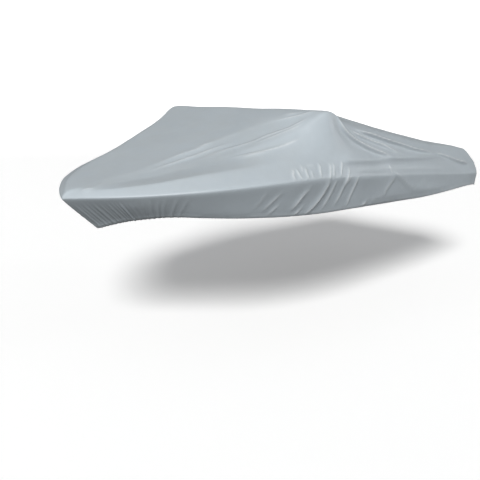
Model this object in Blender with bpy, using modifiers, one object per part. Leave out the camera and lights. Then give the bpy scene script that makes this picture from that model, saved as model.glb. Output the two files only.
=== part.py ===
"""A fitted boat cover, pulled taut over a ridge amidships and drawn in round the bow.

Metres, +X forward to the bow, +Y to port, +Z up. Stations are measured forward
from the stern end and heights up from a base plane just under the lowest hem.
The finished cover is then moved so that the point which carries it, under the
cloth at the middle of the ridge, is the origin.
"""

import bpy
import numpy as np

# Driving dimensions of the sheet.
LENGTH = 4.108
HALF_BEAM = 1.005
HALF_STERN = 0.947
WIDEST_STATION = 2.31
BOW_FULLNESS = 3.0
BOW_POINT = 1.073
STERN_CORNER = 0.07
CLOTH_THICKNESS = 0.002

# The ridge that carries the cover.
RIDGE_STATION = 2.385

# How softly the cloth bends over its supports, along the cover and across it.
SHEER_SOFTNESS = 0.12
SUPPORT_SOFTNESS = 0.03
SECTION_SOFTNESS = 0.016
LEDGE_SOFTNESS = 0.014
FULL_LEDGE_HALF = 0.30
LEAST_SOFT_SHARE = 0.02
STERN_WALL_SLOPE = 5.0
STERN_WALL_SOFTNESS = 0.014

# The skirt swells where it turns over the rim, most at this share of its drop, and
# its folds grow over this share.
RIM_SWELL_SHARE = 0.12
FOLD_GROWTH = 0.15

# Grid of the loft: rows between these stations, and columns from the centre line out to
# each line of the section that bends, to the inner edge of the ledge and to the rim.
ROW_MARKS = (0.12, 2.28, 2.49, 3.35)
ROW_COUNTS = (4, 28, 6, 18, 6)
PORT_BENDS = ("shoulder_half", "bench_half", "flat_half")
PORT_COLUMNS = (2, 2, 2, 5, 2)
STARBOARD_BENDS = ("far_half",)
STARBOARD_COLUMNS = (5, 5, 2)
SKIRT_ROWS = (0.12, 0.30, 0.62, 1.0)

# The last row lies along this much of the outline on each side of the bow tip, and the
# first along the stern edge. Rows straighten over these stretches.
BOW_EDGE = 0.55
BOW_BLEND_FROM = 2.60
STERN_BLEND = 0.15

# Limits that keep the sections well shaped where the bow narrows to its tip.
COLUMN_HALF = 0.45
COLUMN_MARGIN = 0.05
SHOULDER_SHARE = 0.9
DOME_HALF = 0.03
LEAST_HALF = 0.0001
GREATEST_TAPER = 12.0
TAPER_STEP = 0.001

# How finely curves are worked out.
OUTLINE_POINTS = 1600
CORNER_POINTS = 24
TABLE_POINTS = 800
BELL_REACHES = 3

CLOTH_COLOUR = (0.46, 0.50, 0.53, 1.0)
CLOTH_ROUGHNESS = 0.62

# One row for each section. The rim is this high, and the inner edge of its ledge lies
# this far in and up from it. To port the crown runs level out to flat_half, then falls
# to a bench and on to the shoulder that runs from the ridge's end. To starboard it runs
# level out to far_half, and the ledge's edge lies far_up from the rim. The crown and its
# shoulders then rise by the tilt times the distance to port.
# The skirt drops this far, swells under the rim, bellies out, leans aft and narrows.
SECTION_COLUMNS = (
    "station", "rim", "ledge_in", "ledge_up", "crown", "tilt", "flat_half", "bench_half", "bench",
    "shoulder_half", "shoulder", "far_half", "far_up", "drop", "swell", "belly", "back", "narrow",
)
SECTIONS = (
    (0.00, 0.140, 0.060, 0.115, 0.355, 0.012, 0.720, 0.760, 0.353, 0.800, 0.350, 0.800, 0.115, 0.110, 0.002, 0.000, -0.030, 0.004),
    (0.27, 0.166, 0.060, 0.130, 0.405, 0.013, 0.660, 0.720, 0.405, 0.800, 0.392, 0.805, 0.130, 0.118, 0.002, 0.000, -0.010, -0.008),
    (0.67, 0.209, 0.055, 0.140, 0.470, 0.014, 0.600, 0.670, 0.473, 0.805, 0.440, 0.805, 0.140, 0.160, 0.002, 0.000, 0.000, -0.008),
    (1.25, 0.273, 0.055, 0.150, 0.590, 0.017, 0.550, 0.630, 0.598, 0.815, 0.545, 0.815, 0.150, 0.215, 0.003, 0.000, 0.000, 0.002),
    (1.75, 0.325, 0.055, 0.155, 0.698, 0.020, 0.540, 0.620, 0.709, 0.830, 0.640, 0.830, 0.155, 0.245, 0.006, 0.000, 0.000, 0.014),
    (2.05, 0.354, 0.055, 0.152, 0.761, 0.022, 0.550, 0.635, 0.772, 0.840, 0.688, 0.843, 0.152, 0.256, 0.008, 0.000, 0.000, 0.025),
    (2.20, 0.368, 0.055, 0.150, 0.792, 0.023, 0.580, 0.670, 0.800, 0.842, 0.738, 0.850, 0.150, 0.262, 0.009, 0.000, 0.000, 0.030),
    (2.30, 0.374, 0.063, 0.150, 0.809, 0.024, 0.740, 0.803, 0.808, 0.843, 0.807, 0.847, 0.150, 0.266, 0.008, 0.000, 0.000, 0.034),
    (2.385, 0.380, 0.070, 0.150, 0.823, 0.024, 0.740, 0.805, 0.824, 0.845, 0.825, 0.845, 0.150, 0.270, 0.008, 0.000, 0.000, 0.038),
    (2.50, 0.387, 0.095, 0.152, 0.783, 0.018, 0.570, 0.715, 0.765, 0.795, 0.752, 0.782, 0.152, 0.275, 0.007, 0.000, 0.000, 0.046),
    (2.60, 0.392, 0.120, 0.155, 0.748, 0.012, 0.450, 0.650, 0.712, 0.740, 0.698, 0.715, 0.155, 0.278, 0.006, 0.000, 0.000, 0.056),
    (2.80, 0.398, 0.170, 0.144, 0.682, 0.002, 0.360, 0.570, 0.642, 0.655, 0.634, 0.622, 0.144, 0.272, 0.004, 0.000, 0.000, 0.078),
    (3.00, 0.397, 0.185, 0.127, 0.621, -0.015, 0.285, 0.455, 0.592, 0.575, 0.584, 0.541, 0.110, 0.264, 0.003, 0.000, 0.010, 0.108),
    (3.20, 0.390, 0.172, 0.120, 0.561, -0.035, 0.230, 0.365, 0.542, 0.490, 0.535, 0.458, 0.078, 0.244, 0.003, 0.000, 0.030, 0.128),
    (3.40, 0.378, 0.152, 0.110, 0.508, -0.055, 0.180, 0.285, 0.496, 0.405, 0.491, 0.383, 0.063, 0.218, 0.003, 0.002, 0.055, 0.142),
    (3.60, 0.362, 0.122, 0.090, 0.460, -0.072, 0.140, 0.215, 0.454, 0.320, 0.450, 0.336, 0.058, 0.192, 0.002, 0.004, 0.090, 0.158),
    (3.80, 0.344, 0.088, 0.068, 0.421, -0.085, 0.090, 0.140, 0.418, 0.210, 0.415, 0.253, 0.058, 0.168, 0.002, 0.006, 0.145, 0.182),
    (3.95, 0.330, 0.050, 0.050, 0.392, -0.090, 0.040, 0.060, 0.391, 0.085, 0.390, 0.166, 0.050, 0.185, 0.002, 0.006, 0.205, 0.210),
    (4.05, 0.320, 0.036, 0.040, 0.366, -0.060, 0.010, 0.014, 0.366, 0.018, 0.366, 0.080, 0.040, 0.218, 0.002, 0.006, 0.255, 0.250),
    (4.09, 0.316, 0.030, 0.034, 0.342, -0.020, 0.004, 0.006, 0.342, 0.008, 0.342, 0.030, 0.034, 0.232, 0.002, 0.004, 0.272, 0.250),
    (4.108, 0.314, 0.060, 0.050, 0.314, 0.000, 0.002, 0.003, 0.314, 0.004, 0.314, 0.010, 0.050, 0.240, 0.002, 0.004, 0.280, 0.250),
)

# Main folds of the top: each runs from one plan point to another, stands up by its
# height (or dips, where that is negative) and is twice its width across.
TOP_FOLD_COLUMNS = ("from_x", "from_y", "to_x", "to_y", "height", "width")
TOP_FOLDS = (
    (2.45, 0.70, 3.20, 0.27, 0.006, 0.040),
    (2.50, 0.76, 3.20, 0.40, 0.006, 0.040),
    (2.62, 0.78, 3.16, 0.56, 0.006, 0.035),
    (2.50, -0.77, 3.35, -0.41, 0.006, 0.045),
    (2.62, -0.78, 3.24, -0.57, 0.005, 0.040),
    (2.25, 0.87, 1.70, 0.94, 0.020, 0.030),
    (2.00, 0.87, 0.95, 0.91, 0.014, 0.030),
    (2.15, 0.28, 0.60, 0.34, -0.012, 0.120),
    (2.25, -0.87, 1.70, -0.94, 0.018, 0.030),
    (2.00, -0.87, 0.95, -0.91, 0.012, 0.030),
    (2.20, -0.46, 0.60, -0.56, -0.014, 0.110),
)

# Main folds of the skirt, on the port side (+1) or the starboard (-1): each runs down
# from one station at the rim to another at the hem.
SKIRT_FOLD_COLUMNS = ("side", "top", "hem", "height", "width")
SKIRT_FOLDS = (
    (1, 2.94, 3.17, 0.007, 0.050),
    (1, 2.69, 2.92, 0.008, 0.050),
    (1, 2.51, 2.75, 0.014, 0.045),
    (1, 2.20, 2.31, 0.010, 0.045),
    (1, 1.72, 1.46, 0.008, 0.060),
    (1, 0.95, 0.80, 0.006, 0.070),
    (-1, 3.02, 3.21, 0.008, 0.050),
    (-1, 2.60, 2.78, 0.012, 0.050),
    (-1, 2.12, 2.30, 0.010, 0.050),
    (-1, 1.30, 1.12, 0.008, 0.070),
)


def section_column(name):
    """One named column of the section table as an array."""
    place = SECTION_COLUMNS.index(name)
    return np.array([row[place] for row in SECTIONS])


def named_rows(names, rows):
    """The rows of a table, each as a dictionary of its named columns."""
    return [dict(zip(names, row)) for row in rows]


def smooth_ramp(distance, softness):
    """Zero before a bend and the distance past it after, rounded over the softness."""
    return 0.5 * (distance + np.sqrt(distance**2 + softness**2))


def smooth_step(share):
    """Zero to one as a share goes from zero to one, level at both ends: 3s^2 - 2s^3."""
    share = np.clip(share, 0.0, 1.0)
    return share * share * (3.0 - 2.0 * share)


def softened(values, reach, spacing):
    """Values blurred with a bell curve of this reach, with the ends carried straight on."""
    count = int(np.ceil(BELL_REACHES * reach / spacing))
    steps = np.arange(-count, count + 1) * spacing
    bell = np.exp(-0.5 * (steps / reach) ** 2)
    tail = np.arange(1, count + 1)
    before = values[0] - (values[1] - values[0]) * tail[::-1]
    after = values[-1] + (values[-1] - values[-2]) * tail
    padded = np.concatenate([before, values, after])
    return np.convolve(padded, bell / bell.sum(), mode="valid")


def section_value(name, stations, softness=SHEER_SOFTNESS):
    """A column of the section table at any stations, bending softly at its rows."""
    dense = np.linspace(0.0, LENGTH, TABLE_POINTS)
    values = np.interp(dense, section_column("station"), section_column(name))
    return np.interp(stations, dense, softened(values, softness, dense[1]))


def half_breadth(stations):
    """Plan outline: a gentle taper to the stern, and a full curve to the bow's point."""
    aft = np.clip((WIDEST_STATION - stations) / WIDEST_STATION, 0.0, 1.0)
    fore = np.clip((stations - WIDEST_STATION) / (LENGTH - WIDEST_STATION), 0.0, 1.0)
    taper = HALF_BEAM - (HALF_BEAM - HALF_STERN) * aft**2
    bow = HALF_BEAM * (1.0 - fore**BOW_FULLNESS) ** (1.0 / BOW_POINT)
    return np.where(stations > WIDEST_STATION, bow, taper)


def port_outline():
    """The port half of the plan outline, from the stern's middle round its corner and
    along the side to the bow tip, with the girth at each point."""
    turn = np.linspace(0.0, 0.5 * np.pi, CORNER_POINTS)
    corner_x = STERN_CORNER * (1.0 - np.cos(turn))
    corner_y = half_breadth(corner_x) - STERN_CORNER * (1.0 - np.sin(turn))
    spread = np.linspace(0.0, 1.0, OUTLINE_POINTS)
    side_x = STERN_CORNER + (LENGTH - STERN_CORNER) * (1.0 - (1.0 - spread) ** 2)
    x = np.concatenate([[0.0], corner_x, side_x[1:]])
    y = np.concatenate([[0.0], corner_y, half_breadth(side_x)[1:]])
    girth = np.concatenate([[0.0], np.cumsum(np.hypot(np.diff(x), np.diff(y)))])
    return x, y, girth


def outline_at(girths):
    """Plan points on the outline at signed girths: port is positive, starboard negative."""
    x, y, girth = port_outline()
    at = np.abs(girths)
    plan_x = np.interp(at, girth, x)
    plan_y = np.sign(girths) * np.interp(at, girth, y)
    return np.stack([plan_x, plan_y], axis=-1)


def grid_fractions(stations):
    """Where each column lies in each row, from port (0) to starboard (1), so that the
    columns follow the bends of the section and the edge of the ledge."""
    half = np.maximum(half_breadth(stations), COLUMN_HALF)
    ledge = 1.0 - section_value("ledge_in", stations) / half
    zero = np.zeros_like(stations)
    sides = []
    for bends, counts in ((PORT_BENDS, PORT_COLUMNS), (STARBOARD_BENDS, STARBOARD_COLUMNS)):
        lines = [zero + 1.0, ledge]
        for name in bends:
            lines.append(np.minimum(section_value(name, stations) / half, lines[-1] - COLUMN_MARGIN))
        lines = [*lines, zero][::-1]
        bands = [
            np.linspace(start, end, count + 1)[1:]
            for start, end, count in zip(lines, lines[1:], counts)
        ]
        sides.append(np.concatenate(bands))
    across = np.concatenate([sides[0][::-1], zero[None], -sides[1]]).T
    return 0.5 * (1.0 - across)


def plan_grid():
    """Plan points of the top, rows from stern to bow and columns from port to starboard:
    a patch between the stern edge, the two sides and the edge round the bow tip. Its
    rows are straight across, except near the two ends, where they bow to the edge."""
    outline_x, _, girth = port_outline()
    corner = HALF_STERN - STERN_CORNER * (1.0 - 0.25 * np.pi)
    side_end = girth[-1] - BOW_EDGE
    first = np.interp(corner, girth, outline_x)
    last = np.interp(side_end, girth, outline_x)
    marks = (first, *ROW_MARKS, last)
    spans = zip(marks, marks[1:], ROW_COUNTS)
    rows = [np.linspace(start, stop, count, endpoint=False) for start, stop, count in spans]
    stations = np.append(np.concatenate(rows), last)
    side = np.interp(stations, outline_x[1:], girth[1:])
    side[0] = corner
    to_stern = np.clip(1.0 - (stations - first) / STERN_BLEND, 0.0, 1.0)[:, None] ** 2
    to_bow = np.clip((stations - BOW_BLEND_FROM) / (last - BOW_BLEND_FROM), 0.0, 1.0)[:, None] ** 2
    across = grid_fractions(stations)
    even = np.linspace(0.0, 1.0, across.shape[1])
    across = across + to_bow * (even - across)
    swing = 1.0 - 2.0 * across
    stern = outline_at(corner * swing)
    bow = outline_at(np.copysign(girth[-1] - BOW_EDGE * np.abs(swing), swing))
    v = across[:, :, None]
    straight = (1 - v) * outline_at(side)[:, None] + v * outline_at(-side)[:, None]
    stern_chord = (1 - v) * outline_at(corner) + v * outline_at(-corner)
    bow_chord = (1 - v) * outline_at(side_end) + v * outline_at(-side_end)
    stern_part = to_stern[:, :, None] * (stern - stern_chord)
    return straight + stern_part + to_bow[:, :, None] * (bow - bow_chord)


def stern_edge(x, y):
    """How far forward the rounded corners bring the stern edge at a plan point."""
    past = np.clip(np.abs(y) - half_breadth(x) + STERN_CORNER, 0.0, STERN_CORNER)
    return STERN_CORNER - np.sqrt(STERN_CORNER**2 - past**2)


def bent_line(out, height, slope, places, heights, softness):
    """Height at a distance out from the centre line, which starts at this height and
    slope, and is straight between the places, with a soft bend at each but the last."""
    for place, following, start, end, soft in zip(
        places, places[1:], heights, heights[1:], softness
    ):
        steeper = (end - start) / (following - place) - slope
        height = height + steeper * smooth_ramp(out - place, soft)
        slope = slope + steeper
    return height


def top_height(x, y):
    """Height of the taut cloth over a plan point. A section runs straight from crown to
    shoulder, ledge edge and rim, with a soft bend at each."""
    half = np.maximum(half_breadth(x), LEAST_HALF)
    taper = (half_breadth(x - TAPER_STEP) - half) / TAPER_STEP
    slant = np.hypot(1.0, np.clip(taper, 0.0, GREATEST_TAPER))
    wanted = section_value("ledge_in", x) * slant
    ledge_in = wanted * half / (wanted + half)
    rise = section_value("ledge_up", x) / section_value("ledge_in", x)
    rim = section_value("rim", x)
    ledge = rim + rise * ledge_in / slant
    far_ledge = rim + (ledge - rim) * section_value("far_up", x) / section_value("ledge_up", x)
    ledge_half = half - ledge_in
    crown = section_value("crown", x, SUPPORT_SOFTNESS)
    tilt = section_value("tilt", x)
    out = np.abs(y)
    soft = np.clip(ledge_half / FULL_LEDGE_HALF, LEAST_SOFT_SHARE, 1.0)
    bend, ledge_bend = SECTION_SOFTNESS * soft, LEDGE_SOFTNESS * soft

    limit = ledge_half
    places, heights = [half, ledge_half], [rim, ledge]
    for name in ("shoulder", "bench", "flat"):
        limit = np.minimum(section_value(name + "_half", x, SUPPORT_SOFTNESS), SHOULDER_SHARE * limit)
        level = crown if name == "flat" else section_value(name, x, SUPPORT_SOFTNESS)
        places.append(limit)
        heights.append(level + tilt * limit)
    softness = [bend, bend, bend, ledge_bend]
    port = bent_line(out, crown + tilt * out, tilt, places[::-1], heights[::-1], softness)
    far_half = np.minimum(section_value("far_half", x, SUPPORT_SOFTNESS), SHOULDER_SHARE * ledge_half)
    starboard = bent_line(
        out,
        crown - tilt * out,
        -tilt,
        [far_half, ledge_half, half],
        [crown - tilt * far_half, far_ledge, rim],
        [bend, ledge_bend],
    )
    height = np.where(y > 0.0, port, starboard)
    dome = rim + (crown - rim) * np.clip(1.0 - (out / half) ** 2, 0.0, 1.0)
    height = dome + smooth_step((half - DOME_HALF) / DOME_HALF) * (height - dome)
    wall = section_value("rim", np.zeros(1))[0] + STERN_WALL_SLOPE * (x - stern_edge(x, y))
    return wall - smooth_ramp(wall - height, STERN_WALL_SOFTNESS)


def loop_of_edge(rows, columns):
    """Grid indices round the edge of the top: up the port side, round the bow, down the
    starboard side and back along the stern."""
    index = np.arange(rows * columns).reshape(rows, columns)
    return np.concatenate(
        [index[:-1, 0], index[-1, :-1], index[:0:-1, -1], index[0, :0:-1]]
    )


def skirt_folds(x, y, share):
    """How far the skirt's folds stand out at a share of its drop: a bell across each
    fold's line, growing quickly from the rim down."""
    swell = np.zeros_like(x)
    for fold in named_rows(SKIRT_FOLD_COLUMNS, SKIRT_FOLDS):
        line = fold["top"] + share * (fold["hem"] - fold["top"])
        bell = np.exp(-(((x - line) / fold["width"]) ** 2))
        grown = 1.0 - np.exp(-share / FOLD_GROWTH)
        swell += fold["height"] * grown * np.where(y * fold["side"] > 0.0, bell, 0.0)
    return swell


def skirt_rows(edge):
    """Rows of the skirt under the edge of the top, each a straight share of the way to
    the hem, with a small swell where the cloth turns over the rim, and its folds."""
    x, y, z = edge.T
    hem = np.stack(
        [
            x - section_value("back", x),
            y * (1.0 - section_value("narrow", x)),
            z - section_value("drop", x),
        ],
        axis=-1,
    )
    ahead = np.roll(edge, -1, axis=0) - np.roll(edge, 1, axis=0)
    outward = np.stack([-ahead[:, 1], ahead[:, 0], 0.0 * x], axis=-1)
    outward = outward / np.linalg.norm(outward, axis=1, keepdims=True)
    rows = []
    for share in SKIRT_ROWS:
        ratio = share / RIM_SWELL_SHARE
        swell = section_value("swell", x) * ratio * np.exp(1.0 - ratio)
        swell = swell + section_value("belly", x) * 4.0 * share * (1.0 - share)
        swell = swell + skirt_folds(x, y, share)
        rows.append(edge + share * (hem - edge) + swell[:, None] * outward)
    return rows


def grid_faces(rows, columns):
    """Quads of a grid of points, with their fronts up."""
    index = np.arange(rows * columns).reshape(rows, columns)
    return np.stack(
        [index[:-1, :-1], index[:-1, 1:], index[1:, 1:], index[1:, :-1]], axis=-1
    ).reshape(-1, 4)


def point_normals(points, faces):
    """Unit normals at the points, from the faces round each."""
    a, b, c, d = (points[faces[:, corner]] for corner in range(4))
    face_normals = np.cross(c - a, d - b)
    normals = np.zeros_like(points)
    for corner in range(4):
        np.add.at(normals, faces[:, corner], face_normals)
    return normals / np.linalg.norm(normals, axis=1, keepdims=True)


def top_folds(points):
    """How far the top's folds lift each point: a bell across each fold's line, dying
    away towards its two ends."""
    lift = np.zeros(len(points))
    for fold in named_rows(TOP_FOLD_COLUMNS, TOP_FOLDS):
        start = np.array([fold["from_x"], fold["from_y"]])
        end = np.array([fold["to_x"], fold["to_y"]])
        length = np.linalg.norm(end - start)
        line = (end - start) / length
        away = points[:, :2] - start
        along = np.clip(away @ line / length, 0.0, 1.0)
        off = away @ np.array([-line[1], line[0]])
        bell = np.exp(-((off / fold["width"]) ** 2))
        lift += fold["height"] * bell * np.sin(np.pi * along) ** 2
    return lift


def cover_mesh():
    """The open sheet, as one mesh."""
    plan = plan_grid()
    rows, columns = plan.shape[:2]
    flat = plan.reshape(-1, 2)
    top = np.column_stack([flat, top_height(flat[:, 0], flat[:, 1])])
    loop = loop_of_edge(rows, columns)
    skirt = skirt_rows(top[loop])
    points = np.concatenate([top, *skirt])
    around = len(loop)
    lines = [loop] + [len(top) + row * around + np.arange(around) for row in range(len(skirt))]
    bands = [
        np.stack([upper, np.roll(upper, -1), np.roll(lower, -1), lower], axis=-1)
        for upper, lower in zip(lines, lines[1:])
    ]
    faces = np.concatenate([grid_faces(rows, columns), *bands])
    lift = np.zeros(len(points))
    lift[: len(top)] = top_folds(top)
    points = points + point_normals(points, faces) * lift[:, None]
    carried = top_height(np.array([RIDGE_STATION]), np.zeros(1))[0] - CLOTH_THICKNESS
    points = points - np.array([RIDGE_STATION, 0.0, carried])
    mesh = bpy.data.meshes.new("cover_cloth")
    mesh.from_pydata(points.tolist(), [], faces.tolist())
    mesh.shade_smooth()
    return mesh


def cloth_material():
    """Silver grey coated polyester."""
    material = bpy.data.materials.new("coated_polyester")
    material.use_nodes = True
    shader = material.node_tree.nodes["Principled BSDF"]
    shader.inputs["Base Color"].default_value = CLOTH_COLOUR
    shader.inputs["Roughness"].default_value = CLOTH_ROUGHNESS
    shader.inputs["Metallic"].default_value = 0.0
    return material


def main():
    for old in list(bpy.data.objects):
        bpy.data.objects.remove(old, do_unlink=True)
    collection = bpy.data.collections.new("boat_cover")
    bpy.context.scene.collection.children.link(collection)
    cloth = bpy.data.objects.new("cover_cloth", cover_mesh())
    cloth.data.materials.append(cloth_material())
    wall = cloth.modifiers.new("cloth thickness", "SOLIDIFY")
    wall.thickness = CLOTH_THICKNESS
    wall.offset = -1.0
    wall.use_even_offset = True
    collection.objects.link(cloth)


main()
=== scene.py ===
"""The fitted boat cover as finished cloth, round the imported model.

Metres, +X forward to the bow, +Y to port, +Z up. The cover is worked out on stations
measured forward from its stern end and heights up from a base plane, as the CAD is,
and then moved so that the point which carries it is the origin.
"""

import bpy
import numpy as np
from mathutils import Matrix, Vector


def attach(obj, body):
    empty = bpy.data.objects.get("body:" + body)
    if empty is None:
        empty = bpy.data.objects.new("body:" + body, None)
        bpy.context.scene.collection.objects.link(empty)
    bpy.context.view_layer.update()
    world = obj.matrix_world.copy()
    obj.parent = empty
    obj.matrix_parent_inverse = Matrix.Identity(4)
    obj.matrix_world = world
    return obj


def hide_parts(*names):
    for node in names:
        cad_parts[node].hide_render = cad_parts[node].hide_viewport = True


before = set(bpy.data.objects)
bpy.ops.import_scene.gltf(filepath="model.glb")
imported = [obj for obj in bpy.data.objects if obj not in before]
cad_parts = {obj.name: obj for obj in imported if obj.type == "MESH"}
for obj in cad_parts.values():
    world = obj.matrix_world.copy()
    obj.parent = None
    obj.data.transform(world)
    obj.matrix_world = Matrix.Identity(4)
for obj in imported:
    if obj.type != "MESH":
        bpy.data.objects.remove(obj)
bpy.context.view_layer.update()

MILLIMETRE = 0.001

# Driving dimensions of the sheet, the same as the CAD's.
LENGTH = 4.108
HALF_BEAM = 1.005
HALF_STERN = 0.947
WIDEST_STATION = 2.31
BOW_FULLNESS = 3.0
BOW_POINT = 1.073
STERN_CORNER = 0.07
RIDGE_STATION = 2.385
CAD_THICKNESS = 0.002

# How softly the cloth bends over its supports.
SHEER_SOFTNESS = 0.12
SUPPORT_SOFTNESS = 0.03
SECTION_SOFTNESS = 0.016
LEDGE_SOFTNESS = 0.014
FULL_LEDGE_HALF = 0.30
LEAST_SOFT_SHARE = 0.02
STERN_WALL_SLOPE = 5.0
STERN_WALL_SOFTNESS = 0.014

# The rim's bend is this soft from a little forward of the stern, and leans aft by a share
# of the skirt's own lean. The skirt swells under it, most at this share of its drop.
RIM_SOFTNESS = 0.013
SOFT_RIM_FROM = 0.10
SOFT_RIM_OVER = 0.20
RIM_BACK_SHARE = 0.4
RIM_SWELL_SHARE = 0.12

# Limits that keep the sections well shaped where the bow narrows to its tip.
COLUMN_HALF = 0.45
COLUMN_MARGIN = 0.05
SHOULDER_SHARE = 0.9
DOME_HALF = 0.03
LEAST_HALF = 0.0001
GREATEST_TAPER = 12.0
TAPER_STEP = 0.001

# How finely curves are worked out.
OUTLINE_POINTS = 1600
CORNER_POINTS = 24
TABLE_POINTS = 800
BELL_REACHES = 3
FOLD_CURVE_STEPS = 8

# The cloth itself, and the folded band that is its hem, with a cord this far up in it.
CLOTH_THICKNESS = 0.0014
HEM_WIDTH = 0.026
HEM_STEP = 0.0010
HEM_CORD = 0.0018
CORD_UP = 0.006

# Grid of the cloth: columns between the centre line, the flat's edge, the bench, the
# shoulder, the inner edge of the ledge and the rim, and the gap between rows at some
# stations. The port side, with more folds, has more columns.
PORT_COLUMNS = (7, 12, 9, 24, 11)
STARBOARD_COLUMNS = (6, 9, 8, 15, 8)
ROW_GAP_COLUMNS = ("station", "gap")
ROW_GAPS = (
    (0.00, 0.010), (0.20, 0.018), (0.60, 0.024), (1.40, 0.020), (1.80, 0.012),
    (2.20, 0.0092), (3.10, 0.0088), (3.50, 0.0090), (4.00, 0.0085),
)
SKIRT_ROWS = (0.035, 0.08, 0.13, 0.19, 0.27, 0.36, 0.46, 0.57, 0.68, 0.79, 0.90)
HEM_ROWS = (0.028, 0.024, 0.014, 0.005, 0.0)

# The last row lies along this much of the outline on each side of the bow tip, and the
# first along the stern edge. Rows straighten over these stretches.
BOW_EDGE = 0.40
BOW_BLEND_FROM = 3.30
STERN_BLEND = 0.15

# Rows lean forward as they go down over the rim, so that they run with its folds: how
# far forward for each metre down, and how much of that on the top, at some stations.
LEAN_COLUMNS = ("station", "lean", "top")
LEANS = (
    (0.00, 0.00, 0.0), (1.95, 0.00, 0.0), (2.20, 0.42, 1.0), (2.45, 0.75, 1.0),
    (3.10, 0.92, 1.0), (3.45, 0.75, 0.8), (3.60, 0.50, 0.3), (3.75, 0.20, 0.0),
    (3.82, 0.05, 0.0), (3.88, -0.08, 0.0), (3.96, -0.20, 0.0), (4.05, 0.00, 0.0),
    (4.108, 0.00, 0.0),
)
LEAN_SOFTNESS = 0.05
LEAN_REACH = 0.13

# One row for each section, in millimetres, and in thousandths for tilt and narrow. The
# rim is this high, and the inner edge of its ledge lies this far in and up from it. To
# port the crown runs level out to flat_half, then falls to a bench and on to the shoulder
# that runs from the ridge's end. To starboard it runs level out to far_half, and the
# ledge's edge lies far_up from the rim. The crown and its shoulders then rise by the tilt
# times the distance to port. The skirt drops this far, swells under the rim, bellies out,
# leans aft and narrows.
SECTION_COLUMNS = (
    "station", "rim", "ledge_in", "ledge_up", "crown", "tilt", "flat_half", "bench_half",
    "bench", "shoulder_half", "shoulder", "far_half", "far_up",
    "drop", "swell", "belly", "back", "narrow",
)
SECTIONS = (
    (0, 140, 60, 115, 355, 12, 720, 760, 353, 800, 350, 800, 115, 110, 2, 0, -30, 4),
    (270, 166, 60, 130, 405, 13, 660, 720, 405, 800, 392, 805, 130, 118, 2, 0, -10, -8),
    (670, 209, 55, 140, 470, 14, 600, 670, 473, 805, 440, 805, 140, 160, 2, 0, 0, -8),
    (1250, 273, 55, 150, 590, 17, 550, 630, 598, 815, 545, 815, 150, 215, 3, 0, 0, 2),
    (1750, 325, 55, 155, 698, 20, 540, 620, 709, 830, 640, 830, 155, 245, 6, 0, 0, 14),
    (2050, 354, 55, 152, 761, 22, 550, 635, 772, 840, 688, 843, 152, 256, 8, 0, 0, 25),
    (2200, 368, 55, 150, 792, 23, 580, 670, 800, 842, 738, 850, 150, 262, 9, 0, 0, 30),
    (2300, 374, 63, 150, 809, 24, 740, 803, 808, 843, 807, 847, 150, 266, 8, 0, 0, 34),
    (2385, 380, 70, 150, 823, 24, 740, 805, 824, 845, 825, 845, 150, 270, 8, 0, 0, 38),
    (2500, 387, 95, 152, 783, 18, 570, 715, 765, 795, 752, 782, 152, 275, 7, 0, 0, 46),
    (2600, 392, 120, 155, 748, 12, 450, 650, 712, 740, 698, 715, 155, 278, 6, 0, 0, 56),
    (2800, 398, 170, 144, 682, 2, 360, 570, 642, 655, 634, 622, 144, 272, 4, 0, 0, 78),
    (3000, 397, 185, 127, 621, -15, 285, 455, 592, 575, 584, 541, 110, 264, 3, 0, 10, 108),
    (3200, 390, 172, 120, 561, -35, 230, 365, 542, 490, 535, 458, 78, 244, 3, 0, 30, 128),
    (3400, 378, 152, 110, 508, -55, 180, 285, 496, 405, 491, 383, 63, 218, 3, 2, 55, 142),
    (3600, 362, 122, 90, 460, -72, 140, 215, 454, 320, 450, 336, 58, 192, 2, 4, 90, 158),
    (3800, 344, 88, 68, 421, -85, 90, 140, 418, 210, 415, 253, 58, 168, 2, 6, 145, 182),
    (3950, 330, 50, 50, 392, -90, 40, 60, 391, 85, 390, 166, 50, 185, 2, 6, 205, 210),
    (4050, 320, 36, 40, 366, -60, 10, 14, 366, 18, 366, 80, 40, 218, 2, 6, 255, 250),
    (4090, 316, 30, 34, 342, -20, 4, 6, 342, 8, 342, 30, 34, 232, 2, 4, 272, 250),
    (4108, 314, 60, 50, 314, 0, 2, 3, 314, 4, 314, 10, 50, 240, 2, 4, 280, 250),
)

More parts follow.
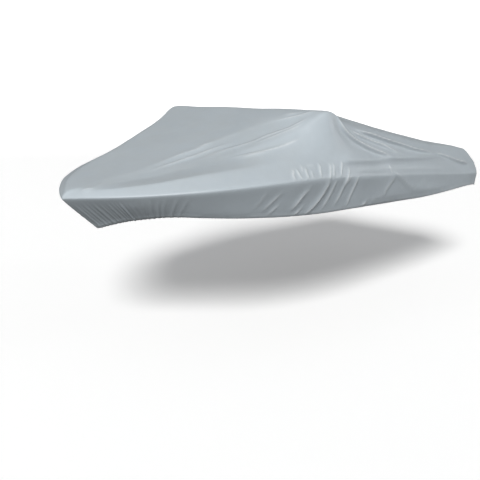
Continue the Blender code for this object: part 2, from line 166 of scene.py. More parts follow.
# Folds of the top, with lengths in millimetres. Each runs along its path of plan points,
# station and distance to port. It is this high at its crest, falls away over one width on
# its left and another on its right, seen along the path, and has a crest this blunt. It
# grows and dies away over these shares of its length, and the cloth beside it is drawn
# down by a share of its height. Its crest is worn, and painted paler as a highlight, this
# much. A row that leaves out the last two has the usual ones.
FOLD_COLUMNS = ("path", "height", "left", "right", "crest", "grow", "die", "hollow", "crest_highlight_and_wear")
USUAL_HOLLOW_WEAR_AND_HIGHLIGHT = (0.4, 0.9)
TOP_FOLDS = (
    # Long folds from the port end of the ridge towards the bow.
    (((2420, 660), (2520, 540), (2660, 405), (2760, 365)), 8, 24, 9, 5, 0.2, 0.35, 0.3, 0.7),
    (((2380, 760), (2470, 670), (2550, 560), (2600, 520)), 7.5, 20, 9, 5, 0.2, 0.3, 0.3, 0.7),
    (((2740, 385), (2930, 295), (3120, 260), (3270, 215), (3550, 150)),
      11, 20, 11, 5, 0.25, 0.5, 0.3, 0.6),
    (((2470, 755), (2600, 680), (2750, 590), (2900, 535), (3080, 430), (3220, 375)),
      10.5, 26, 9, 5, 0.15, 0.35, 0.3, 0.7),
    (((2520, 755), (2660, 680), (2780, 625), (2920, 575)), 7.5, 20, 9, 5, 0.25, 0.35, 0.3, 0.7),
    (((2900, 440), (3100, 350), (3260, 300), (3450, 245), (3600, 210)),
      10, 18, 10, 5, 0.3, 0.4, 0.4, 0.6),
    (((3020, 470), (3150, 420), (3300, 360)), 3, 16, 8, 6, 0.35, 0.4, 0.3, 0.35),
    (((2600, 785), (2780, 735), (2920, 680), (3060, 605), (3160, 560)),
      8.5, 26, 9, 5, 0.2, 0.35, 0.4, 0.7),
    (((2880, 715), (2980, 665), (3080, 620)), 5.5, 18, 9, 5, 0.35, 0.35, 0.3, 0.7),
    # A soft peak behind the bow.
    (((4020, 85), (3970, 125), (3950, 165)), 12, 22, 22, 10, 0.4, 0.4, 0.3, 0.35),
    (((3940, 150), (3880, 140), (3810, 125)), 3, 14, 14, 8, 0.4, 0.4, 0.3, 0.35),
    # Their fellows to starboard, which run a little differently.
    (((2500, -770), (2720, -620), (3020, -490), (3350, -410)),
      5.5, 26, 10, 6, 0.15, 0.5, 0.5, 0.35),
    # Slack hollows and long folds of the aft top.
    (((2300, 200), (1800, 300), (1200, 260), (550, 330)), -12, 120, 110, 50, 0.25, 0.35, 0, 0),
    (((2300, -380), (1750, -460), (1150, -440), (550, -520)), -14, 110, 120, 50, 0.25, 0.35, 0, 0),
    (((2360, -700), (2020, -620), (1620, -600), (1200, -660)),
      7.5, 35, 16, 8, 0.2, 0.45, 0.4, 0.35),
    (((2360, -300), (1980, -200), (1550, -190), (1050, -120)), 6, 32, 16, 8, 0.2, 0.45, 0.4, 0.3),
    (((2360, 420), (2050, 360), (1660, 400), (1250, 380)), 6, 18, 34, 8, 0.2, 0.45, 0.4, 0.3),
    (((40, -550), (300, -460), (620, -420), (950, -360)), 6, 30, 18, 8, 0.2, 0.5, 0.4, 0.3),
    (((40, 480), (340, 420), (700, 440), (1000, 400)), 5.5, 18, 30, 8, 0.2, 0.5, 0.4, 0.3),
    (((50, -780), (240, -680), (500, -600)), 7, 24, 14, 7, 0.2, 0.5, 0.4, 0.35),
    (((50, 760), (260, 660), (520, 620)), 6.5, 14, 24, 7, 0.2, 0.5, 0.4, 0.35),
    (((2620, -780), (2830, -700), (3020, -630), (3240, -570)),
      4.5, 24, 10, 6, 0.2, 0.5, 0.5, 0.35),
    (((980, -870), (760, -890), (420, -900), (200, -910)), 5.5, 10, 14, 6, 0.25, 0.35, 0.4, 0.35),
)

# Folds that cross the rim or lie on the skirt. Their paths are a station at the rim and a
# distance down from it over the cloth, which is negative on the top.
PORT_FOLDS = (
    # The bend of the cloth over the edge of the ledge, above the rim.
    (((2450, -95), (2300, -104), (1950, -112), (1670, -130), (1350, -140), (970, -160),
      (600, -165)),
      18, 50, 28, 5, 0.1, 0.3, 0.2, 0),
    (((2300, -40), (2180, -34), (1950, -36), (1710, -45), (1400, -45), (1040, -46), (660, -46)),
      5, 12, 14, 6, 0.15, 0.2, 0.3, 0.25),
    # Folds that fan out aft from the port end of the ridge.
    (((2285, -445), (2235, -363), (2178, -338), (2050, -289), (1937, -239), (1800, -188),
      (1640, -146)),
      33, 50, 13, 6, 0.15, 0.25, 0.5, 0.9),
    (((2170, -420), (1975, -377), (1809, -330), (1716, -305), (1596, -240), (1450, -170)),
      23, 30, 14, 6, 0.25, 0.3, 0.35, 0.9),
    (((2100, -455), (1812, -425), (1631, -390), (1404, -348), (1226, -296), (1002, -262),
      (800, -235)),
      34, 45, 15, 6, 0.2, 0.25, 0.35, 0.9),
    (((840, -255), (649, -194), (465, -137), (252, -105), (170, -95)), 28, 35, 12, 6, 0.2, 0.2),
    (((1860, -350), (1740, -330), (1600, -290), (1500, -250)), 5, 10, 18, 6, 0.35, 0.4, 0.3, 0.9),
    # Short wrinkles over the rim.
    (((2830, -109), (2887, -45), (2899, 6)), 9.5, 12, 10, 5, 0.35, 0.25),
    (((2813, -107), (2834, -45), (2835, 6)), 9.5, 12, 10, 5, 0.35, 0.25),
    (((2749, -130), (2770, -90), (2794, -60)), 6, 12, 10, 5, 0.35, 0.35),
    (((2725, -105), (2753, -63), (2779, 4)), 9.5, 12, 10, 5, 0.3, 0.25),
    (((2720, -108), (2670, -103), (2625, -98)), 6, 10, 12, 5, 0.3, 0.3),
    (((2690, -75), (2715, -40), (2730, 0)), 6, 12, 10, 5, 0.35, 0.3),
    (((2580, -118), (2615, -60), (2646, 1)), 9.5, 12, 10, 5, 0.3, 0.25),
    (((2475, -110), (2510, -50), (2550, 10), (2560, 30)), 9.5, 12, 10, 5, 0.25, 0.2),
    (((2440, -105), (2475, -50), (2510, 5)), 9.5, 12, 10, 5, 0.3, 0.25),
    (((2357, -108), (2385, -50), (2418, 8)), 10.5, 11, 10, 4, 0.15, 0.15),
    (((2285, -60), (2307, -20), (2345, 33), (2370, 70)), 9, 11, 11, 4, 0.2, 0.3),
    # The leaning folds of the skirt.
    (((2552, 20), (2578, 95), (2630, 168), (2680, 221), (2735, 266)), 12, 24, 30, 8, 0.15, 0.15),
    (((2468, 20), (2504, 113), (2531, 167), (2579, 250)), 8, 16, 15, 5, 0.2, 0.2),
    (((2275, 0), (2320, 34), (2371, 88), (2395, 139), (2430, 200), (2455, 240)),
      8, 18, 17, 5, 0.2, 0.3),
    (((2200, -5), (2215, 41), (2240, 106), (2263, 144), (2300, 245)), 8.5, 18, 18, 5, 0.2, 0.2),
    (((2735, 70), (2795, 115), (2830, 170), (2875, 218)), 9.5, 24, 20, 6, 0.25, 0.25),
    (((2770, 205), (2800, 235), (2835, 262)), 8, 12, 12, 5, 0.3, 0.3),
    (((2985, 70), (3023, 105), (3063, 151), (3112, 205)), 6, 18, 18, 6, 0.3, 0.3),
    (((2990, 165), (3020, 200), (3055, 240)), 6, 12, 12, 6, 0.3, 0.3),
    (((3115, 45), (3139, 119), (3165, 175)), 3.4, 12, 14, 6, 0.35, 0.3),
    (((1660, 30), (1691, 54), (1751, 99), (1815, 178)), 9, 12, 22, 6, 0.2, 0.25),
    (((1730, -75), (1718, -35), (1712, 10)), 9, 11, 12, 5, 0.25, 0.3),
    (((1715, -30), (1590, 25), (1471, 80), (1350, 128), (1200, 150)),
      14, 30, 22, 8, 0.15, 0.5, 0.4, 0.25),
    (((1550, 60), (1240, 130), (950, 130), (600, 105)), 11, 35, 40, 20, 0.35, 0.45, 0, 0),
    (((1620, 75), (1550, 110), (1460, 140)), 5, 18, 18, 8, 0.35, 0.4, 0.3, 0.25),
    (((1240, 60), (1180, 85), (1150, 120)), 5, 20, 20, 10, 0.35, 0.4, 0.3, 0.25),
    (((2010, 200), (2045, 222), (2095, 246)), 10, 7, 9, 3, 0.25, 0.25, 0.3, 0.9),
    (((2000, 200), (1900, 190), (1810, 175)), 6, 14, 18, 7, 0.3, 0.3),
)
STARBOARD_FOLDS = (
    (((2440, -98), (2250, -108), (1900, -118), (1500, -140), (1100, -155), (660, -162)),
      17, 28, 50, 5, 0.1, 0.3, 0.2, 0),
    (((2275, -430), (2190, -352), (2060, -300), (1910, -236), (1720, -170)),
      30, 14, 48, 6, 0.15, 0.25, 0.45, 0.9),
    (((2150, -425), (1940, -372), (1760, -310), (1560, -220)),
      21, 14, 30, 6, 0.25, 0.3, 0.35, 0.9),
    (((2080, -450), (1780, -420), (1440, -352), (1140, -285), (860, -240)),
      30, 15, 44, 6, 0.2, 0.25, 0.35, 0.9),
    (((900, -250), (620, -180), (380, -120), (200, -98)), 24, 12, 34, 6, 0.2, 0.2),
    (((2860, -108), (2905, -50), (2920, 6)), 9, 11, 12, 5, 0.35, 0.25),
    (((2775, -112), (2800, -60), (2822, 4)), 9, 10, 12, 5, 0.3, 0.25),
    (((2700, -104), (2722, -58), (2755, 2)), 7.5, 10, 12, 5, 0.3, 0.3),
    (((2605, -112), (2640, -55), (2665, 4)), 9.5, 10, 12, 5, 0.3, 0.25),
    (((2500, -106), (2530, -48), (2572, 12)), 9, 10, 12, 5, 0.25, 0.25),
    (((2405, -104), (2430, -50), (2462, 6)), 10, 10, 11, 4, 0.2, 0.2),
    (((2300, -66), (2328, -20), (2365, 40)), 8.5, 10, 11, 4, 0.2, 0.3),
    (((3030, 50), (3085, 120), (3160, 210)), 8, 18, 18, 6, 0.3, 0.3),
    (((2900, 90), (2940, 150), (2990, 225)), 6, 14, 14, 6, 0.3, 0.3),
    (((2790, 60), (2840, 130), (2905, 220)), 9, 20, 22, 6, 0.25, 0.25),
    (((2590, 15), (2640, 110), (2715, 200), (2770, 262)), 12.5, 20, 26, 7, 0.15, 0.15),
    (((2490, 20), (2540, 120), (2610, 250)), 8, 15, 17, 5, 0.2, 0.2),
    (((2320, 5), (2385, 100), (2470, 235)), 8, 16, 18, 5, 0.2, 0.25),
    (((2180, 0), (2235, 110), (2310, 245)), 8.5, 17, 18, 5, 0.2, 0.2),
    (((1600, 25), (1670, 90), (1750, 180)), 8.5, 18, 14, 6, 0.2, 0.25),
    (((1520, -20), (1400, 55), (1260, 115), (1100, 140)), 12.5, 22, 28, 8, 0.15, 0.5, 0.4, 0.25),
)
FOLD_REACHES = 6.0
HOLLOW_WIDTHS = 2.2

# Gathers where the hem is drawn in round the bow. Each lies this many millimetres from the
# bow tip along the rim, and is this high at the hem and this wide. They start a share of
# the way down and rise over another.
PORT_GATHERS = (
    (45, 2.8, 12), (78, 2, 8), (110, 3.2, 11), (147, 2.2, 8), (183, 3.6, 12), (228, 3, 9),
    (252, 2, 8), (281, 3.6, 11), (316, 3, 9), (342, 3.4, 8), (371, 7.4, 10), (404, 6, 9),
    (437, 7.8, 10), (466, 3.6, 8), (490, 6.2, 10), (535, 7.4, 11), (562, 3, 8), (590, 6, 12),
    (650, 4.2, 11), (700, 2.6, 13), (785, 2.6, 14), (870, 1.6, 15),
)
STARBOARD_GATHERS = (
    (80, 3.4, 12), (150, 3.6, 12), (205, 4, 11), (262, 3.2, 12), (318, 4.2, 11), (360, 3, 10),
    (415, 4, 12), (480, 3, 11), (555, 3.8, 13), (640, 3.4, 13), (720, 3.4, 14), (830, 2.6, 15),
)
GATHER_START = 0.12
GATHER_RISE = 0.32

# How far the cord in the hem draws it in, over how much of the skirt above it.
TUCK_COLUMNS = ("station", "tuck", "reach")
TUCKS = (
    (0.00, 0.003, 0.040), (1.10, 0.005, 0.050), (1.38, 0.016, 0.070), (1.60, 0.020, 0.075),
    (1.90, 0.016, 0.065), (2.10, 0.007, 0.050), (2.80, 0.009, 0.060), (3.40, 0.008, 0.060),
    (3.80, 0.004, 0.040), (4.108, 0.002, 0.030),
)

# Low uneven swells of the whole sheet.
WAVE_SEED = 11
WAVE_COUNT = 44
WAVE_LENGTHS = (0.11, 0.60)
WAVE_SHARE = 0.0006

# Where the coating is worn: along the crests of folds, the rim and the hem's edge. On the
# crests and the rim, the paler colour is also a painted highlight.
CREST_HALF_WIDTH = 0.0065
FULL_WEAR_AND_HIGHLIGHT_HEIGHT = 0.009
RIM_WEAR_AND_HIGHLIGHT = 0.04
RIM_WEAR_AND_HIGHLIGHT_WIDTH = 0.007
HEM_WEAR_WIDTH = 0.004
TOP_MAP_START = 5.0

# The two faces of the cloth: colour, roughness, depths of the large and the small uneven
# tone, reflectance and sheen.
FACE_COLUMNS = ("name", "colour", "roughness", "clouds", "mottle", "specular", "sheen")
FACES = (
    ("silver_coated_cloth", (0.440, 0.493, 0.533, 1.0), 0.44, 0.03, 0.02, 0.42, 0.06),
    ("dull_inner_face", (0.27, 0.285, 0.30, 1.0), 0.72, 0.05, 0.04, 0.30, 0.10),
)
SHEEN_ROUGHNESS = 0.45
CLOUD_SIZE = 0.42
MOTTLE_SIZE = 0.055

# The outer face alone: worn crests, painted paler partly as a highlight, which are smoother,
# and dust, which is rougher and lies where the cloth is level.
# Pale colour of worn crests and rim, partly real wear and partly a painted highlight.
WEAR_AND_HIGHLIGHT_COLOUR = (0.74, 0.77, 0.79, 1.0)
WEAR_AND_HIGHLIGHT_SHARE = 0.75
WORN_POLISH = 0.35
WEAR_AND_HIGHLIGHT_PATCH_SIZE = 0.018
WEAR_AND_HIGHLIGHT_PATCH_DEPTH = 0.35
DUST_COLOUR = (0.48, 0.49, 0.48, 1.0)
DUST_SHARE = 0.16
DUST_ROUGHNESS = 0.35
DUST_LEVEL_POWER = 3.0
DUST_PATCH_SIZE = 0.16
DUST_PATCH_DEPTH = 0.9

# Weave, crinkles and stitches, in metres over the cloth. Each bump is a height in metres
# and a strength.
THREAD_PITCH = 0.0011
THREAD_BUMP = (0.00022, 0.5)
TONE_NOISE = {"Detail": 4.0, "Roughness": 0.55}
TONE_BAND = (0.25, 0.75)
CRINKLE_NOISE = {"Detail": 2.0, "Roughness": 0.45, "Distortion": 0.6}
CRINKLE_SIZE = 0.035
CRINKLE_POWER = 0.6
CRINKLE_BUMP = (0.0011, 0.22)
THREAD_COLOUR = (0.62, 0.64, 0.65, 1.0)
STITCH_UP = 0.0205
STITCH_PITCH = 0.0046
STITCH_WIDTH = 0.0013
STITCH_EDGES = (0.35, 0.65)
STITCH_ENDS = (0.34, 0.42)
STITCH_BUMP = (0.0006, 0.8)

# The view of the photograph. The camera stands here, looks along this heading and dips
# below the horizon, in degrees, with a little roll.
CAMERA_PLACE = (4.1805, 3.8844, 0.3414)
CAMERA_HEADING = 43.047
CAMERA_DIP = 14.095
CAMERA_ROLL = 0.178
CAMERA_LENS = 52.5
CAMERA_SENSOR = 36.0

# The studio floor is level out to one radius, and then turns up by a rise over a stretch.
# Some of its rings lie on the level part, and the rest from a little further out.
FLOOR_HEIGHT = -1.715
FLOOR_LEVEL_RADIUS = 12.0
FLOOR_RAISED_FROM = 12.5
FLOOR_EDGE_RADIUS = 22.0
FLOOR_RISE = 9.0
FLOOR_RISE_OVER = 14.0
FLOOR_RINGS = (13, 24)
FLOOR_SPOKES = 96
FLOOR_ROUGHNESS = 0.9
FLOOR_SEEN = (0.90, 0.90, 0.90, 1.0)
FLOOR_BOUNCE = (0.15, 0.15, 0.15, 1.0)
FLOOR_GLOW = 0.35

# Studio light: where each light comes from, how many degrees wide it is, and its strength.
LIGHT_COLUMNS = ("name", "toward", "spread", "strength")
LIGHTS = (
    ("key light", (0.671, 0.470, 0.574), 18.0, 3.68),
    ("fill light", (-0.83, 0.52, 0.20), 14.0, 2.1),
)
LIGHT_COLOUR = (1.0, 0.995, 0.985)
SKY_LIGHT = (0.082, 0.088, 0.094, 1.0)
SKY_SEEN = (0.92, 0.92, 0.92, 1.0)


def columns_of(names, rows):
    """A table's columns as arrays, by name."""
    return {name: np.array([row[place] for row in rows]) for place, name in enumerate(names)}


def named_rows(names, rows, usual=()):
    """The rows of a table, each as a dictionary of its named columns. A short row ends
    with the usual values."""
    return [dict(zip(names, row if len(row) == len(names) else row + usual)) for row in rows]


def unit(vectors):
    """Vectors in the same directions, one long."""
    return vectors / np.linalg.norm(vectors, axis=-1, keepdims=True)


def bell(distance, width):
    """A bell curve: exp(-(d / w)^2)."""
    return np.exp(-((distance / width) ** 2))


def smooth_ramp(distance, softness):
    """Zero before a bend and the distance past it after, rounded over the softness."""
    return 0.5 * (distance + np.sqrt(distance**2 + softness**2))


def smooth_step(share):
    """Zero to one as a share goes from zero to one, level at both ends: 3s^2 - 2s^3."""
    share = np.clip(share, 0.0, 1.0)
    return share * share * (3.0 - 2.0 * share)


def softened(values, reach, spacing):
    """Values blurred with a bell curve of this reach, with the ends carried straight on."""
    count = int(np.ceil(BELL_REACHES * reach / spacing))
    weights = np.exp(-0.5 * (np.arange(-count, count + 1) * spacing / reach) ** 2)
    tail = np.arange(1, count + 1)
    before = values[0] - (values[1] - values[0]) * tail[::-1]
    after = values[-1] + (values[-1] - values[-2]) * tail
    padded = np.concatenate([before, values, after])
    return np.convolve(padded, weights / weights.sum(), mode="valid")


def soft_column(names, rows, name, stations, softness):
    """A column of a table at any stations, bending softly at its rows."""
    table = columns_of(names, rows)
    dense = np.linspace(0.0, LENGTH, TABLE_POINTS)
    values = np.interp(dense, table["station"], table[name])
    return np.interp(stations, dense, softened(values, softness, dense[1]))


def section_value(name, stations, softness=SHEER_SOFTNESS):
    """A column of the section table at any stations, in metres."""
    rows = np.array(SECTIONS) * MILLIMETRE
    return soft_column(SECTION_COLUMNS, rows, name, stations, softness)


def half_breadth(stations):
    """Plan outline: a gentle taper to the stern, and a full curve to the bow's point."""
    aft = np.clip((WIDEST_STATION - stations) / WIDEST_STATION, 0.0, 1.0)
    fore = np.clip((stations - WIDEST_STATION) / (LENGTH - WIDEST_STATION), 0.0, 1.0)
    taper = HALF_BEAM - (HALF_BEAM - HALF_STERN) * aft**2
    bow = HALF_BEAM * (1.0 - fore**BOW_FULLNESS) ** (1.0 / BOW_POINT)
    return np.where(stations > WIDEST_STATION, bow, taper)


def port_outline():
    """The port half of the plan outline, from the stern's middle round its corner and
    along the side to the bow tip, with the girth at each point."""
    turn = np.linspace(0.0, 0.5 * np.pi, CORNER_POINTS)
    corner_x = STERN_CORNER * (1.0 - np.cos(turn))
    corner_y = half_breadth(corner_x) - STERN_CORNER * (1.0 - np.sin(turn))
    spread = np.linspace(0.0, 1.0, OUTLINE_POINTS)
    side_x = STERN_CORNER + (LENGTH - STERN_CORNER) * (1.0 - (1.0 - spread) ** 2)
    x = np.concatenate([[0.0], corner_x, side_x[1:]])
    y = np.concatenate([[0.0], corner_y, half_breadth(side_x)[1:]])
    girth = np.concatenate([[0.0], np.cumsum(np.hypot(np.diff(x), np.diff(y)))])
    return x, y, girth


OUTLINE_X, OUTLINE_Y, OUTLINE_GIRTH = port_outline()
HALF_GIRTH = OUTLINE_GIRTH[-1]


def outline_at(girths):
    """Plan points on the outline at signed girths: port is positive, starboard negative."""
    at = np.abs(girths)
    plan_x = np.interp(at, OUTLINE_GIRTH, OUTLINE_X)
    plan_y = np.sign(girths) * np.interp(at, OUTLINE_GIRTH, OUTLINE_Y)
    return np.stack([plan_x, plan_y], axis=-1)


def row_stations(first, last):
    """Stations from first to last with the gaps of the table between them: the count of
    gaps is summed along the cover and read back at whole numbers."""
    table = columns_of(ROW_GAP_COLUMNS, ROW_GAPS)
    dense = np.linspace(first, last, TABLE_POINTS)
    density = 1.0 / np.interp(dense, table["station"], table["gap"])
    steps = 0.5 * (density[1:] + density[:-1]) * np.diff(dense)
    count = np.concatenate([[0.0], np.cumsum(steps)])
    return np.interp(np.linspace(0.0, count[-1], int(count[-1]) + 1), count, dense)


def grid_fractions(stations):
    """Where each column lies in each row, from port (0) to starboard (1), so that the
    columns follow the shoulder and the edge of the ledge."""
    half = np.maximum(half_breadth(stations), COLUMN_HALF)
    ledge = 1.0 - section_value("ledge_in", stations) / half
    zero = np.zeros_like(stations)
    sides = []
    for counts in (PORT_COLUMNS, STARBOARD_COLUMNS):
        lines = [zero + 1.0, ledge]
        for name in ("shoulder_half", "bench_half", "flat_half"):
            wanted = section_value(name, stations) / half
            lines.append(np.minimum(wanted, lines[-1] - COLUMN_MARGIN))
        lines = [*lines, zero][::-1]
        bands = [
            np.linspace(start, end, count + 1)[1:]
            for start, end, count in zip(lines, lines[1:], counts)
        ]
        sides.append(np.concatenate(bands))
    across = np.concatenate([sides[0][::-1], zero[None], -sides[1]]).T
    return 0.5 * (1.0 - across)


def leaned(plan):
    """The plan grid with its points slid aft along their own columns, by the lean times
    reach * (1 - exp(-inboard / reach)), so that rows lean near the rim only."""
    x, y = plan[..., 0], plan[..., 1]
    inboard = np.maximum(half_breadth(x) - np.abs(y), 0.0)
    lean = soft_column(LEAN_COLUMNS, LEANS, "lean", x, LEAN_SOFTNESS)
    lean *= soft_column(LEAN_COLUMNS, LEANS, "top", x, LEAN_SOFTNESS)
    slid = x - lean * LEAN_REACH * (1.0 - np.exp(-inboard / LEAN_REACH))
    moved = [np.interp(slid[:, j], x[:, j], y[:, j]) for j in range(plan.shape[1])]
    return np.stack([slid, np.stack(moved, axis=1)], axis=-1)


def plan_grid():
    """Plan points of the top, rows from stern to bow and columns from port to starboard,
    and the signed girth of each point of its edge. It is a patch between the stern edge,
    the two sides and the edge round the bow tip. Its rows are straight across, except
    near the two ends, where they bow to the edge."""
    corner = HALF_STERN - STERN_CORNER * (1.0 - 0.25 * np.pi)
    side_end = HALF_GIRTH - BOW_EDGE
    first = np.interp(corner, OUTLINE_GIRTH, OUTLINE_X)
    last = np.interp(side_end, OUTLINE_GIRTH, OUTLINE_X)
    stations = row_stations(first, last)
    side = np.interp(stations, OUTLINE_X[1:], OUTLINE_GIRTH[1:])
    side[0] = corner
    to_stern = np.clip(1.0 - (stations - first) / STERN_BLEND, 0.0, 1.0)[:, None] ** 2
    to_bow = (stations - BOW_BLEND_FROM) / (last - BOW_BLEND_FROM)
    to_bow = np.clip(to_bow, 0.0, 1.0)[:, None] ** 2
    across = grid_fractions(stations)
    even = np.linspace(0.0, 1.0, across.shape[1])
    across = across + to_bow * (even - across)
    swing = 1.0 - 2.0 * across
    stern = outline_at(corner * swing)
    bow_girth = np.copysign(HALF_GIRTH - BOW_EDGE * np.abs(swing), swing)
    bow = outline_at(bow_girth)
    v = across[:, :, None]
    straight = (1 - v) * outline_at(side)[:, None] + v * outline_at(-side)[:, None]
    stern_chord = (1 - v) * outline_at(corner) + v * outline_at(-corner)
    bow_chord = (1 - v) * outline_at(side_end) + v * outline_at(-side_end)
    stern_part = to_stern[:, :, None] * (stern - stern_chord)
    plan = straight + stern_part + to_bow[:, :, None] * (bow - bow_chord)
    girth = np.concatenate(
        [side[:-1], bow_girth[-1, :-1], -side[:0:-1], (corner * swing[0])[:0:-1]]
    )
    return leaned(plan), girth


def stern_edge(x, y):
    """How far forward the rounded corners bring the stern edge at a plan point."""
    past = np.clip(np.abs(y) - half_breadth(x) + STERN_CORNER, 0.0, STERN_CORNER)
    return STERN_CORNER - np.sqrt(STERN_CORNER**2 - past**2)


def plan_taper(x):
    """How fast the outline narrows forward at a station."""
    half = np.maximum(half_breadth(x), LEAST_HALF)
    return np.clip((half_breadth(x - TAPER_STEP) - half) / TAPER_STEP, 0.0, GREATEST_TAPER)


def ledge_rise(x):
    """How steeply the ledge rises inboard at a station."""
    return section_value("ledge_up", x) / section_value("ledge_in", x)


def bent_line(out, height, slope, places, heights, softness):
    """Height at a distance out from the centre line, which starts at this height and
    slope, and is straight between the places, with a soft bend at each but the last."""
    for place, following, start, end, soft in zip(
        places, places[1:], heights, heights[1:], softness
    ):
        steeper = (end - start) / (following - place) - slope
        height = height + steeper * smooth_ramp(out - place, soft)
        slope = slope + steeper
    return height


def top_height(x, y):
    """Height of the taut cloth over a plan point. A section runs straight from crown to
    shoulder, ledge edge and rim, with a soft bend at each. Near the bow tip it becomes a
    dome, and at the stern a wall, where that is lower."""
    half = np.maximum(half_breadth(x), LEAST_HALF)
    slant = np.hypot(1.0, plan_taper(x))
    wanted = section_value("ledge_in", x) * slant
    ledge_in = wanted * half / (wanted + half)
    rim = section_value("rim", x)
    ledge = rim + ledge_rise(x) * ledge_in / slant
    far_share = section_value("far_up", x) / section_value("ledge_up", x)
    far_ledge = rim + (ledge - rim) * far_share
    ledge_half = half - ledge_in
    crown = section_value("crown", x, SUPPORT_SOFTNESS)
    tilt = section_value("tilt", x)
    out = np.abs(y)
    soft = np.clip(ledge_half / FULL_LEDGE_HALF, LEAST_SOFT_SHARE, 1.0)
    bend, ledge_bend = SECTION_SOFTNESS * soft, LEDGE_SOFTNESS * soft

    limit = ledge_half
    places, heights = [half, ledge_half], [rim, ledge]
    for name in ("shoulder", "bench", "flat"):
        wanted = section_value(name + "_half", x, SUPPORT_SOFTNESS)
        limit = np.minimum(wanted, SHOULDER_SHARE * limit)
        level = crown if name == "flat" else section_value(name, x, SUPPORT_SOFTNESS)
        places.append(limit)
        heights.append(level + tilt * limit)
    softness = [bend, bend, bend, ledge_bend]
    port = bent_line(out, crown + tilt * out, tilt, places[::-1], heights[::-1], softness)
    wanted = section_value("far_half", x, SUPPORT_SOFTNESS)
    far_half = np.minimum(wanted, SHOULDER_SHARE * ledge_half)
    starboard = bent_line(
        out,
        crown - tilt * out,
        -tilt,
        [far_half, ledge_half, half],
        [crown - tilt * far_half, far_ledge, rim],
        [bend, ledge_bend],
    )
    height = np.where(y > 0.0, port, starboard)
    dome = rim + (crown - rim) * np.clip(1.0 - (out / half) ** 2, 0.0, 1.0)
    height = dome + smooth_step((half - DOME_HALF) / DOME_HALF) * (height - dome)
    wall = section_value("rim", np.zeros(1))[0] + STERN_WALL_SLOPE * (x - stern_edge(x, y))
    return wall - smooth_ramp(wall - height, STERN_WALL_SOFTNESS)


def edge_points(girth):
    """Points of the rim at signed girths."""
    x, y = outline_at(girth).T
    return np.column_stack([x, y, top_height(x, y)])


def drawn_in(x, outward, girth_out):
    """How far the soft bend of the rim is drawn inside its sharp corner: along the sum
    of the directions inboard and down the skirt, by half of sqrt(d^2 + s^2) - |d|."""
    inboard = unit(np.column_stack([-outward[:, :2], ledge_rise(x)]))
    back = (RIM_BACK_SHARE * section_value("back", x))[:, None]
    down = unit(-section_value("drop", x)[:, None] * [0.0, 0.0, 1.0] - outward * back)
    by = 0.5 * (np.sqrt(girth_out**2 + RIM_SOFTNESS**2) - np.abs(girth_out))
    by = by * smooth_step((x - SOFT_RIM_FROM) / SOFT_RIM_OVER)
    return (inboard + down) * by[:, None]


def top_points(plan):
    """Points of the top over its plan, drawn in to a soft bend at the rim."""
    x, y = plan.T
    taper = plan_taper(x)
    outward = np.column_stack([taper, np.sign(y), 0.0 * x])
    outward /= np.hypot(1.0, taper)[:, None]
    points = np.column_stack([x, y, top_height(x, y)])
    return points + drawn_in(x, outward, -rim_girth(plan))


def rim_girth(plan):
    """How far each plan point lies inboard of the rim, measured over the cloth."""
    x, y = plan.T
    inboard = (half_breadth(x) - np.abs(y)) / np.hypot(1.0, plan_taper(x))
    return np.maximum(inboard, 0.0) * np.hypot(1.0, ledge_rise(x))


def skirt_grid(girth):
    """Rows of the skirt under the edge of the top, with the station, the distance down
    from the rim and the girth of each point. Each row is a share of the way to the hem,
    with a small swell where the cloth turns over the rim, share * exp(1 - share), and a
    belly, 4 share (1 - share). It lies further forward by the lean."""
    station = outline_at(girth)[:, 0]
    drop = section_value("drop", station)
    lean = soft_column(LEAN_COLUMNS, LEANS, "lean", station, LEAN_SOFTNESS)
    shares = [share * (1.0 - HEM_ROWS[0] / drop) for share in SKIRT_ROWS]
    shares += [1.0 - up / drop for up in HEM_ROWS]
    made = []
    for share in shares:
        ahead = np.minimum(np.abs(girth) + lean * drop * share, HALF_GIRTH)
        ahead = np.copysign(ahead, girth)
        edge = edge_points(ahead)
        x, y, z = edge.T
        here = section_value("drop", x)
        narrowed = y * (1.0 - section_value("narrow", x))
        hem = np.column_stack([x - section_value("back", x), narrowed, z - here])
        along = np.roll(edge, -1, axis=0) - np.roll(edge, 1, axis=0)
        outward = unit(np.column_stack([-along[:, 1], along[:, 0], 0.0 * x]))
        ratio = share / RIM_SWELL_SHARE
        swell = section_value("swell", x) * ratio * np.exp(1.0 - ratio)
        swell += section_value("belly", x) * 4.0 * share * (1.0 - share)
        points = edge + share[:, None] * (hem - edge) + swell[:, None] * outward
        points += drawn_in(x, outward, share * here)
        made.append((points, x, share * here, ahead))
    return [np.stack(part) for part in zip(*made)]


def loop_of_edge(rows, columns):
    """Grid indices round the edge of the top: up the port side, round the bow, down the
    starboard side and back along the stern."""
    index = np.arange(rows * columns).reshape(rows, columns)
    return np.concatenate(
        [index[:-1, 0], index[-1, :-1], index[:0:-1, -1], index[0, :0:-1]]
    )


def grid_faces(rows, columns):
    """Quads of a grid of points, with their fronts up."""
    index = np.arange(rows * columns).reshape(rows, columns)
    corners = [index[:-1, :-1], index[:-1, 1:], index[1:, 1:], index[1:, :-1]]
    return np.stack(corners, axis=-1).reshape(-1, 4)


def point_normals(points, faces):
    """Unit normals at the points, from the faces round each."""
    a, b, c, d = (points[faces[:, corner]] for corner in range(4))
    face_normals = np.cross(c - a, d - b)
    normals = np.zeros_like(points)
    for corner in range(4):
        np.add.at(normals, faces[:, corner], face_normals)
    return unit(normals)


